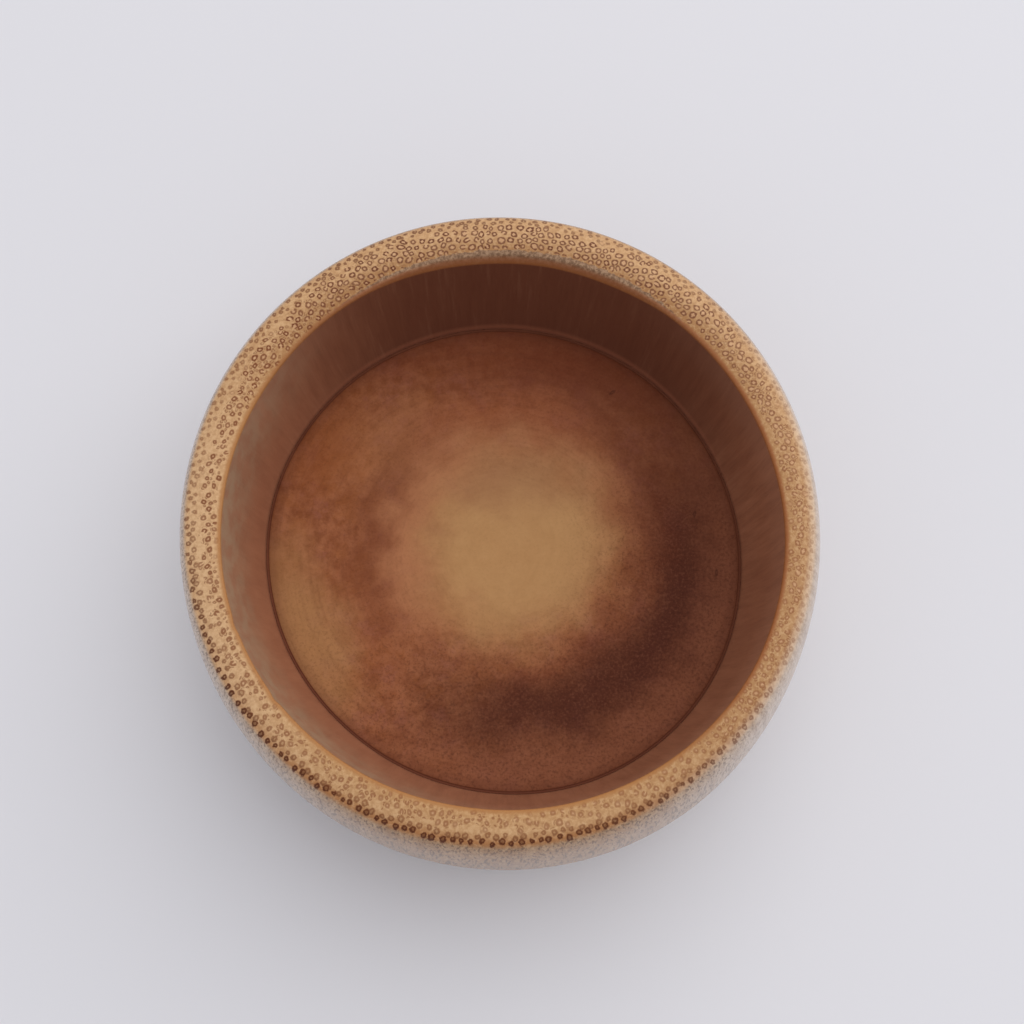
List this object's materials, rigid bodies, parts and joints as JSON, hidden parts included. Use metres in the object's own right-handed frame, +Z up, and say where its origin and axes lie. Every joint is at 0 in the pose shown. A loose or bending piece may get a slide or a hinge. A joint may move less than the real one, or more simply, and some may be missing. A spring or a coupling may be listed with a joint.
{
  "type": "bamboo cup",
  "caption": "Low round-bellied cup turned from thick bamboo culm, with a dished floor disc glued on a ledge inside.",
  "frame": {"origin": "middle of the footprint, on the surface that the cup stands on", "axes": "+Z up; +Y towards the wide side of the lip, along the body's longer diameter; +X along its shorter diameter"},
  "size_m": [0.083, 0.0858, 0.032],
  "materials": {
    "culm_bamboo": "satin lacquered bamboo, end grain on the lip and long grain down the sides",
    "floor_bamboo": "sanded and lacquered, pale in the middle with a stained ring round it",
    "dark_glue": "dark brown set glue"
  },
  "bodies": {
    "root": {"culm_wall": "culm_bamboo", "floor_disc": "floor_bamboo", "glue_line": "dark_glue"}
  },
  "joints": []
}
